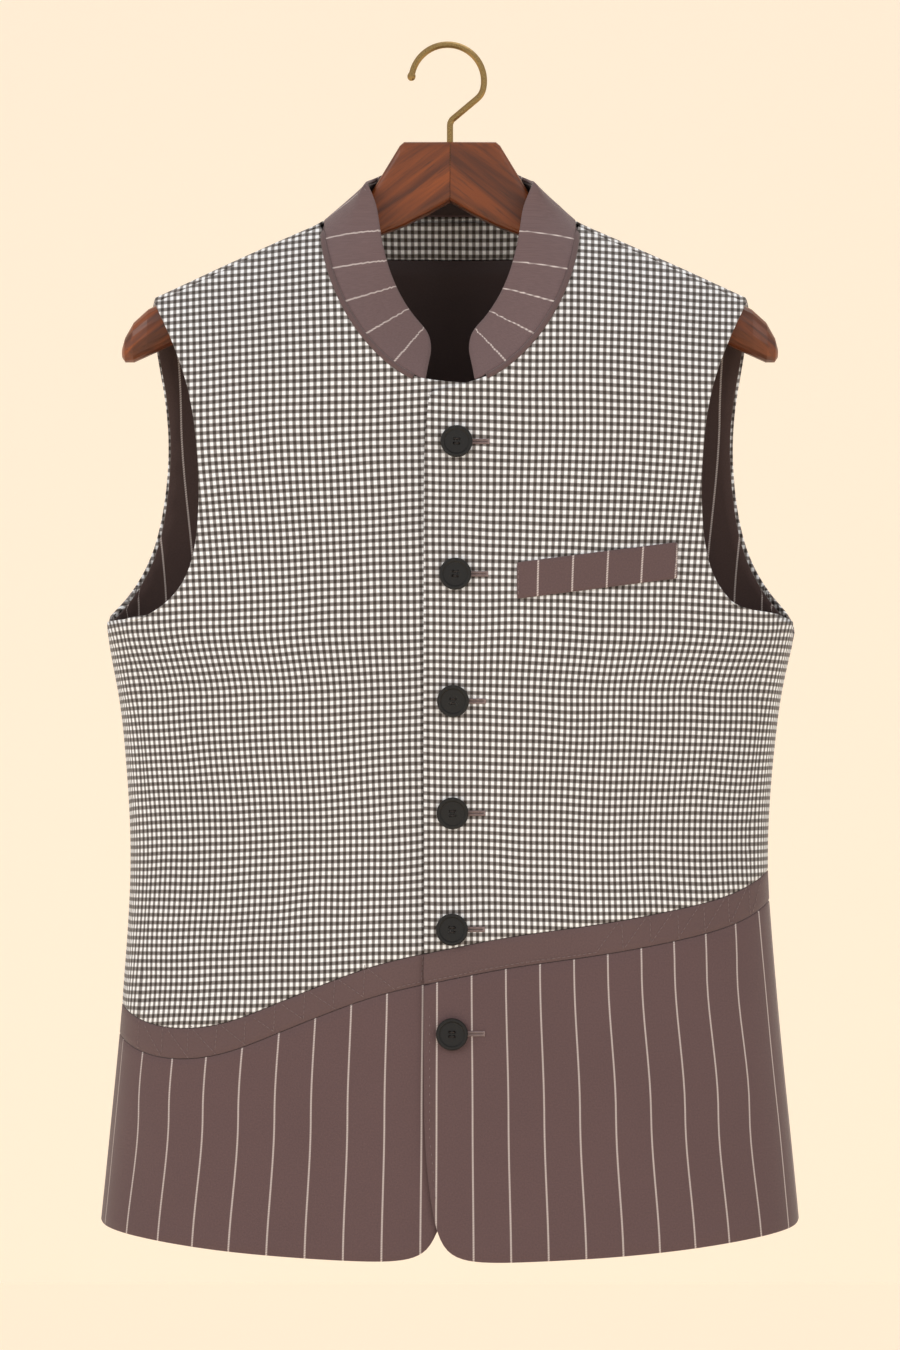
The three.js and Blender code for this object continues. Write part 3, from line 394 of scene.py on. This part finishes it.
front_right_upper = cloth_from("front_right_upper", "right_front_checked")
dress(front_right_upper, right_check, "front_right_upper")
front_left_upper = cloth_from("front_left_upper", "left_front_checked")
dress(front_left_upper, left_check, "front_left_upper")
back_upper = cloth_from("back_upper", "back_checked")
dress(back_upper, back_check, "back_upper")

# ---------------------------------------------------------------------------------------------
# The band: a narrow strip of plain plum-brown suiting, sewn between the checked cloth and the
# skirt and stitched down along its lower edge.
plain_cloth, tree, shader = new_material("plain_plum_suiting", 0.85, 0.2)
finish_cloth(tree, shader, (0.129, 0.079, 0.077), cloth_lay(tree), thread=0.0007)
for node, name, flat, area, neighbour in (
    ("front_right_band", "right_front_band", (0.29, 0.03), 0.0058, "front_right_upper"),
    ("front_left_band", "left_front_band", (0.29, 0.03), 0.0056, "front_left_upper"),
    ("back_band", "back_band_plain", (0.56, 0.03), 0.0103, "back_upper"),
):
    strip = cloth_from(node, name)
    dress(strip, plain_cloth, node)

# ---------------------------------------------------------------------------------------------
# The striped skirt: the same plum-brown suiting with fine off-white stripes about an inch apart,
# cut with the stripes upright, so that they spread with the flare.
stripes, stripes_in, stripes_out = group(
    "fine_stripes",
    [("Cloth", "NodeSocketVector", None), ("Pitch", "NodeSocketFloat", 0.0255),
     ("Width", "NodeSocketFloat", 0.0013), ("Shift", "NodeSocketFloat", 0.0)],
    [("Stripe", "NodeSocketFloat")])
split = stripes.nodes.new("ShaderNodeSeparateXYZ")
stripes.links.new(stripes_in.outputs["Cloth"], split.inputs[0])
place = maths(stripes, "ADD", split.outputs[0], stripes_in.outputs["Shift"])
turn = maths(stripes, "FRACT", maths(stripes, "DIVIDE", place, stripes_in.outputs["Pitch"]))
away = maths(stripes, "MULTIPLY", maths(stripes, "ABSOLUTE", maths(stripes, "SUBTRACT", turn, 0.5)),
             stripes_in.outputs["Pitch"])
inside = maths(stripes, "SUBTRACT", 1.25, maths(stripes, "DIVIDE", away, maths(
    stripes, "MULTIPLY", stripes_in.outputs["Width"], 0.5)), clamp=True)
twist = maths(stripes, "SINE", maths(stripes, "MULTIPLY", maths(
    stripes, "ADD", split.outputs[1], maths(stripes, "MULTIPLY", split.outputs[0], 0.6)),
    math.tau / 0.0016))
broken = maths(stripes, "ADD", maths(stripes, "MULTIPLY", twist, 0.3), 0.62)
stripes.links.new(maths(stripes, "MULTIPLY", maths(stripes, "MULTIPLY", inside, 1.6, clamp=True), broken),
                  stripes_out.inputs["Stripe"])


def striped_material(name, ground, shift=0.0, pitch=0.0255, width=0.0013, thread=(0.74, 0.64, 0.6)):
    made, tree, shader = new_material(name, 0.85, 0.2)
    lay_socket = cloth_lay(tree)
    lines = use_group(tree, stripes, Cloth=lay_socket, Pitch=pitch, Width=width, Shift=shift)
    finish_cloth(tree, shader, mixed(tree, lines.outputs["Stripe"], ground, thread), lay_socket,
                 thread=0.0007)
    return made


plum = (0.124, 0.074, 0.074)
skirt_right_cloth = striped_material("striped_suiting_right", plum, shift=0.0339, pitch=0.02678)
skirt_left_cloth = striped_material("striped_suiting_left", plum, shift=0.0227, pitch=0.02598)
skirt_back_cloth = striped_material("striped_suiting_back", plum)
for node, name, cloth, flat, area, neighbour in (
    ("front_right_skirt", "right_front_skirt", skirt_right_cloth, (0.29, 0.2), 0.042, "front_right_band"),
    ("front_left_skirt", "left_front_skirt", skirt_left_cloth, (0.29, 0.24), 0.0575, "front_left_band"),
    ("back_skirt", "back_striped_skirt", skirt_back_cloth, (0.59, 0.24), 0.096, "back_band"),
):
    skirt_piece = cloth_from(node, name)
    dress(skirt_piece, cloth, node)

# ---------------------------------------------------------------------------------------------
# Linings that show: a checked facing inside the back neck, striped facings inside the armholes,
# and a plain dark satin lining between them, all sewn in by hand along their edges.
lining_cloth, tree, shader = new_material("dark_plum_lining", 0.55, 0.1)
finish_cloth(tree, shader, (0.042, 0.024, 0.023), cloth_lay(tree), thread=0.0003, depth=0.00005, dye=0.3)
neck_check = gingham_material("gingham_neck_facing", 0.0)
# The armhole facings are the striped plum suiting with its ground painted darker (0.075 against 0.124):
# painted shade inside the armholes.
shaded_facing_cloth = striped_material("striped_facing_painted_shade", (0.075, 0.045, 0.04), pitch=0.0225)
for node, name, cloth, slot, flat, area in (
    ("back_neck_facing", "neck_facing_checked", neck_check, "checked_cloth", (0.16, 0.04), 0.0044),
    ("armhole_facing_left", "left_armhole_facing", shaded_facing_cloth, "striped_cloth", (0.12, 0.29), 0.0117),
    ("armhole_facing_right", "right_armhole_facing", shaded_facing_cloth, "striped_cloth", (0.12, 0.29), 0.0117),
    ("back_lining", "back_lining_plain", lining_cloth, "lining_cloth", (0.56, 0.66), 0.268),
):
    lining_piece = cloth_from(node, name, strength=0.5, cuts=0)
    dress(lining_piece, cloth, node)

# ---------------------------------------------------------------------------------------------
# The collar: a stiff band of the striped suiting, cut so that the stripes cross it, over canvas,
# with a plain dark lining felled inside it. It stands up from the neck seam and leans in.
neck_half, neck_top, neck_drop, neck_rise = 0.088, -0.12, 0.12, 0.009


def on_cloth(panels, x, z, off=0.0003, way=1):
    """The front face of the cloth at x and z, or its back face if way is -1, a little off it."""
    best = None
    for panel in panels:
        hit, spot, normal, _ = panel.ray_cast(Vector((x, -0.3 * way, z)), Vector((0, way, 0)))
        if hit and (best is None or spot.y * way < best.y * way):
            best = spot + normal.normalized() * off
    return best


def neck_seam(side):
    """The seam of the neck from the centre front to the centre back, on one side."""
    line = []
    fronts = [front_left_upper if side > 0 else front_right_upper]
    for step in range(34):
        angle = math.radians(6.5) + step / 33 * math.radians(76)
        x, z = neck_half * math.sin(angle) ** 1.08, neck_top - neck_drop * math.cos(angle) ** 1.08
        spot = on_cloth(fronts, side * x * 1.025, z - 0.0015, -0.001)
        if spot:
            line.append(Vector((side * x * 0.992, spot.y, z + 0.0006)))
    for step in range(31):
        angle = math.radians(15) + step / 30 * math.radians(75)
        x, z = neck_half * math.cos(angle), neck_top + neck_rise * math.sin(angle) ** 2
        spot = on_cloth([back_upper], side * x * 1.02, z - 0.002, -0.001, -1)
        if spot:
            line.append(Vector((side * x * 0.99, spot.y, z + 0.0012)))
    return line


seam_right, seam_left = neck_seam(-1), neck_seam(1)
neck_line = seam_left + seam_right[::-1][1:]
neck_run = [0.0]
for before, after in zip(neck_line, neck_line[1:]):
    neck_run.append(neck_run[-1] + (after - before).length)


def round_the_neck(point):
    """Metres of collar from the centre back, by the nearest place on the neck seam."""
    nearest = min(range(len(neck_line)), key=lambda n: (neck_line[n] - point).length_squared)
    around = neck_run[nearest]
    for n in (nearest - 1, nearest):
        if 0 <= n < len(neck_line) - 1:
            span = neck_line[n + 1] - neck_line[n]
            t = (point - neck_line[n]).dot(span) / max(span.length_squared, 1e-12)
            if 0 <= t <= 1:
                around = neck_run[n] + t * span.length
    return around - neck_run[-1] / 2


collar_cloth = striped_material("striped_collar", (0.16, 0.103, 0.103), pitch=0.0274, shift=0.0137)
collar = cloth_from("collar", "stand_collar", strength=0.25, lay=round_the_neck)
dress(collar, collar_cloth, "collar")
collar_inside = cloth_from("collar_lining", "stand_collar_lining", strength=0.25, lay=round_the_neck)
dress(collar_inside, lining_cloth, "collar_lining")


def tube(made, points, radius, sides=6):
    """A round closed rod through points, in a mesh being made."""
    rings = []
    for index, point in enumerate(points):
        along = points[min(index + 1, len(points) - 1)] - points[max(index - 1, 0)]
        side = along.cross(Vector((0, 1, 0))).normalized()
        other = side.cross(along).normalized()
        rings.append([made.verts.new(point + radius * (math.cos(a) * side + math.sin(a) * other))
                      for a in (math.tau * k / sides for k in range(sides))])
    for ring, following in zip(rings, rings[1:]):
        for k in range(sides):
            made.faces.new((ring[k], ring[(k + 1) % sides], following[(k + 1) % sides], following[k]))
    made.faces.new(rings[0][::-1])
    made.faces.new(rings[-1])


def finished_mesh(made, name, material):
    bmesh.ops.recalc_face_normals(made, faces=made.faces)
    mesh = bpy.data.meshes.new(name)
    made.to_mesh(mesh)
    made.free()
    for face in mesh.polygons:
        face.use_smooth = True
    piece = bpy.data.objects.new(name, mesh)
    bpy.context.scene.collection.objects.link(piece)
    mesh.materials.append(material)
    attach(piece, "root")
    return piece


# The turned seam under the collar: a rolled edge of the collar's cloth that closes the neck seam.
collar_end = 0.0225  # how far the collar's front ends are from the centre line
roll_radius = 0.0021
seam_roll = bmesh.new()
tube(seam_roll, [point for point in neck_line if point.y > 0 or abs(point.x) > collar_end], roll_radius, 8)
roll_cloth, tree, shader = new_material("rolled_seam_suiting", 0.85, 0.2)
finish_roll = use_group(tree, patches, Strength=0.2)
roll_shade = tree.nodes.new("ShaderNodeCombineColor")
for socket in roll_shade.inputs:
    tree.links.new(finish_roll.outputs["Shade"], socket)
tree.links.new(mixed(tree, 1.0, (0.126, 0.08, 0.079), roll_shade.outputs[0], "MULTIPLY"),
               shader.inputs["Base Color"])
finished_mesh(seam_roll, "neck_seam_roll", roll_cloth)

# ---------------------------------------------------------------------------------------------
# The breast pocket: a welt of striped suiting laid on the left front at a slant, its stripes
# upright and its short ends stitched down. The pocket behind it is inside the jacket.
welt_cloth = striped_material("striped_welt", (0.126, 0.078, 0.077), pitch=0.02454, shift=0.02413)
welt = cloth_from("welt_pocket", "breast_welt", strength=0.9)
dress(welt, welt_cloth, "welt_pocket")

# ---------------------------------------------------------------------------------------------
# The buttons: six black horn buttons with a raised rim and four holes, sewn through with dark thread onto
# the left front, each at the end of a worked buttonhole. The thread is painted near black as painted shade
# in the holes.
horn, tree, shader = new_material("black_horn", 0.32)
shader.inputs["Specular IOR Level"].default_value = 0.38
cloudy = tree.nodes.new("ShaderNodeTexNoise")
cloudy.inputs["Scale"].default_value = 160
cloudy.inputs["Detail"].default_value = 5
tree.links.new(mixed(tree, cloudy.outputs[0], (0.004, 0.004, 0.004), (0.02, 0.018, 0.016)),
               shader.inputs["Base Color"])
tree.links.new(maths(tree, "ADD", maths(tree, "MULTIPLY", cloudy.outputs[0], 0.25), 0.22),
               shader.inputs["Roughness"])

# The thread is real, but its near-black colour is painted shade: it stands for the dark holes of the
# buttons and the dark cut of each buttonhole.
hole_shade_thread, tree, shader = new_material("near_black_thread_and_hole_shade", 0.7)
ply = tree.nodes.new("ShaderNodeTexNoise")
ply.inputs["Scale"].default_value = 1400
tree.links.new(mixed(tree, ply.outputs[0], (0.014, 0.011, 0.01), (0.05, 0.04, 0.036)),
               shader.inputs["Base Color"])

for number in range(1, 7):
    node = f"button_{number}"
    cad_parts[node].data.materials.clear()
    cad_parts[node].data.materials.append(horn)

face_sunk = 0.0009  # the button's face behind its rim
hole_out = 0.0015  # the holes, from the middle of the button each way
sewn = bmesh.new()
for number in range(1, 7):
    low, high = (Vector(corner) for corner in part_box(f"button_{number}"))
    middle = (low + high) / 2
    face_y = low.y + face_sunk
    for way in (-1, 1):
        start = middle + Vector((-hole_out, 0, way * hole_out))
        ends = [Vector((start.x, face_y + 0.002, start.z)), Vector((start.x, face_y - 0.0003, start.z)),
                Vector((middle.x, face_y - 0.0006, start.z)),
                Vector((2 * middle.x - start.x, face_y - 0.0003, start.z)),
                Vector((2 * middle.x - start.x, face_y + 0.002, start.z))]
        tube(sewn, ends, 0.00045)
finished_mesh(sewn, "button_thread", hole_shade_thread)

# The buttonholes: worked by hand in brown thread across the left front, two rows of close stitches with a
# bar at the far end, and between the rows a near-black line along the slit as painted shade in the cut.
hole_start, hole_end = 0.006, 0.021  # from the middle of the button to each end of the buttonhole
holes = bmesh.new()
slit_shade = bmesh.new()
bpy.context.view_layer.update()  # so that on_cloth sees every piece as it is now
left_panels = [front_left_upper, bpy.data.objects["left_front_band"], bpy.data.objects["left_front_skirt"]]
for number in range(1, 7):
    low, high = (Vector(corner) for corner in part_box(f"button_{number}"))
    middle = (low + high) / 2
    far = middle.x + hole_end
    for row in (-1, 1):
        count = 20
        for k in range(count):
            x = middle.x + hole_start + (far - middle.x - hole_start) * k / (count - 1)
            inner = on_cloth(left_panels, x, middle.z + row * 0.0002)
            outer = on_cloth(left_panels, x, middle.z + row * 0.0017)
            if inner and outer:
                tube(holes, [outer, (inner + outer) / 2 + Vector((0, -0.00025, 0)), inner], 0.00042, 5)
    bar = [on_cloth(left_panels, far + 0.0004, middle.z + dz) for dz in (-0.0018, 0, 0.0018)]
    if all(bar):
        tube(holes, bar, 0.0006)
    # A near-black line along the slit: painted shade in the cut.
    slit = [on_cloth(left_panels, middle.x + hole_start + 0.0145 * k / 6, middle.z, 0.00025)
            for k in range(7)]
    if all(slit):
        tube(slit_shade, slit, 0.00028, 5)
hole_thread, tree, shader = new_material("mauve_thread", 0.75)
ply = tree.nodes.new("ShaderNodeTexNoise")
ply.inputs["Scale"].default_value = 1100
tree.links.new(mixed(tree, ply.outputs[0], (0.15, 0.1, 0.095), (0.38, 0.29, 0.28)),
               shader.inputs["Base Color"])
finished_mesh(holes, "buttonhole_stitches", hole_thread)
finished_mesh(slit_shade, "buttonhole_slits", hole_shade_thread)

# ---------------------------------------------------------------------------------------------
# The stitching: the front bands are topstitched along their lower edges, and the short ends of
# the welt and the lapping edge of the skirt carry a fine stitch, all in a mauve thread.
stitches = bmesh.new()


def stitch_along(points, panels, length=0.0022, gap=0.0013, radius=0.00018):
    """Single stitches along a line of x and z on the front of the cloth."""
    total = 0.0
    due = 0.0
    for (x0, z0), (x1, z1) in zip(points, points[1:]):
        run = math.hypot(x1 - x0, z1 - z0)
        while due < total + run:
            t = (due - total) / run
            ux, uz = (x1 - x0) / run, (z1 - z0) / run
            x, z = x0 + (x1 - x0) * t, z0 + (z1 - z0) * t
            ends = [on_cloth(panels, x + ux * length * k, z + uz * length * k,
                             0.00005 + 0.0002 * (k == 0.5)) for k in (0, 0.5, 1)]
            if all(ends):
                tube(stitches, ends, radius, 4)
            due += length + gap
        total += run


def front_wave(node, rise):
    """Points along the lower edge of a band's front face, lifted by rise."""
    edge = {}
    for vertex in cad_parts[node].data.vertices:
        x = round(vertex.co.x, 3)
        if vertex.co.y < -0.004 and (x not in edge or vertex.co.z < edge[x]):
            edge[x] = vertex.co.z
    line = sorted(edge.items())
    return [(x, z + rise) for x, z in line if 0.004 < abs(x) < 0.215]


right_panels = [front_right_upper, bpy.data.objects["right_front_band"],
                bpy.data.objects["right_front_skirt"]]
for node, panels in (("front_right_band", right_panels), ("front_left_band", left_panels)):
    stitch_along(front_wave(node, 0.0022), panels)
low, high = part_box("welt_pocket")
stitch_along([(low[0] + 0.0012, low[2] + 0.003), (low[0] + 0.0012, high[2] - 0.018)], [welt])
stitch_along([(high[0] - 0.0012, low[2] + 0.017), (high[0] - 0.0012, high[2] - 0.003)], [welt])
lap_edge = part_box("front_left_skirt")[0][0] + 0.004
stitch_along([(lap_edge, -0.66), (lap_edge, -0.74), (lap_edge + 0.004, -0.78)], left_panels,
             0.0012, 0.0045, 0.0002)
finished_mesh(stitches, "fine_stitching", hole_thread)

# ---------------------------------------------------------------------------------------------
# The hanger: two book-matched halves of walnut, shaped and waxed, glued at the middle, with the grain
# running down each arm. The left half gets darker colours than the right: painted shade on that arm.
arm_slope = math.radians(-38)  # of the grain
# hanger_left's grain colours are darker than hanger_right's: painted shade on that arm, not a different
# wood.
for node, turn_sign, dark, light in (("hanger_right", 1, (0.1, 0.026, 0.009), (0.26, 0.062, 0.012)),
                                     ("hanger_left", -1, (0.085, 0.023, 0.008), (0.21, 0.05, 0.01))):
    walnut, tree, shader = new_material("walnut_" + node[7:], 0.4)
    shader.inputs["Specular IOR Level"].default_value = 0.45
    shader.inputs["Coat Weight"].default_value = 0.12
    shader.inputs["Coat Roughness"].default_value = 0.3
    place_in = tree.nodes.new("ShaderNodeTexCoord")
    grain_way = tree.nodes.new("ShaderNodeMapping")
    grain_way.vector_type = "TEXTURE"
    grain_way.inputs["Rotation"].default_value = (0, turn_sign * arm_slope, 0)
    grain_way.inputs["Scale"].default_value = (0.16, 0.013, 0.013)
    tree.links.new(place_in.outputs["Object"], grain_way.inputs["Vector"])
    figure = tree.nodes.new("ShaderNodeTexNoise")
    figure.inputs["Scale"].default_value = 1.6
    figure.inputs["Detail"].default_value = 6
    figure.inputs["Distortion"].default_value = 0.9
    tree.links.new(grain_way.outputs[0], figure.inputs["Vector"])
    pores = tree.nodes.new("ShaderNodeTexNoise")
    pores.inputs["Scale"].default_value = 9
    pores.inputs["Detail"].default_value = 2
    tree.links.new(grain_way.outputs[0], pores.inputs["Vector"])
    contrast = maths(tree, "MULTIPLY", maths(tree, "SUBTRACT", figure.outputs[0], 0.36), 3.4, clamp=True)
    wood_colour = mixed(tree, contrast, dark, light)
    pore_mask = maths(tree, "MULTIPLY", maths(tree, "SUBTRACT", pores.outputs[0], 0.58), 5, clamp=True)
    wood_colour = mixed(tree, maths(tree, "MULTIPLY", pore_mask, 0.55), wood_colour, (0.035, 0.014, 0.007))
    tree.links.new(wood_colour, shader.inputs["Base Color"])
    tree.links.new(maths(tree, "ADD", maths(tree, "MULTIPLY", pore_mask, 0.2), 0.36),
                   shader.inputs["Roughness"])
    bump = tree.nodes.new("ShaderNodeBump")
    bump.inputs["Strength"].default_value = 0.25
    bump.inputs["Distance"].default_value = 0.0002
    tree.links.new(pores.outputs[0], bump.inputs["Height"])
    tree.links.new(bump.outputs[0], shader.inputs["Normal"])
    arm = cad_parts[node]
    arm.data.materials.clear()
    arm.data.materials.append(walnut)
    for face in arm.data.polygons:
        face.use_smooth = True
    edges = arm.modifiers.new("keep edges", "EDGE_SPLIT")
    edges.split_angle = math.radians(38)

# ---------------------------------------------------------------------------------------------
# The hook: thick brass wire, bent cold, with a ball on its free end, let into the top of the
# hanger. Handling has left it bright on the bends and brown in between.
brass, tree, shader = new_material("antique_brass", 0.3)
shader.inputs["Metallic"].default_value = 1
tarnish = tree.nodes.new("ShaderNodeTexNoise")
tarnish.inputs["Scale"].default_value = 190
tarnish.inputs["Detail"].default_value = 5
tree.links.new(mixed(tree, tarnish.outputs[0], (0.2, 0.115, 0.04), (0.62, 0.42, 0.17)),
               shader.inputs["Base Color"])
tree.links.new(maths(tree, "ADD", maths(tree, "MULTIPLY", tarnish.outputs[0], 0.3), 0.14),
               shader.inputs["Roughness"])
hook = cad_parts["hook"]
hook.data.materials.clear()
hook.data.materials.append(brass)
for face in hook.data.polygons:
    face.use_smooth = True
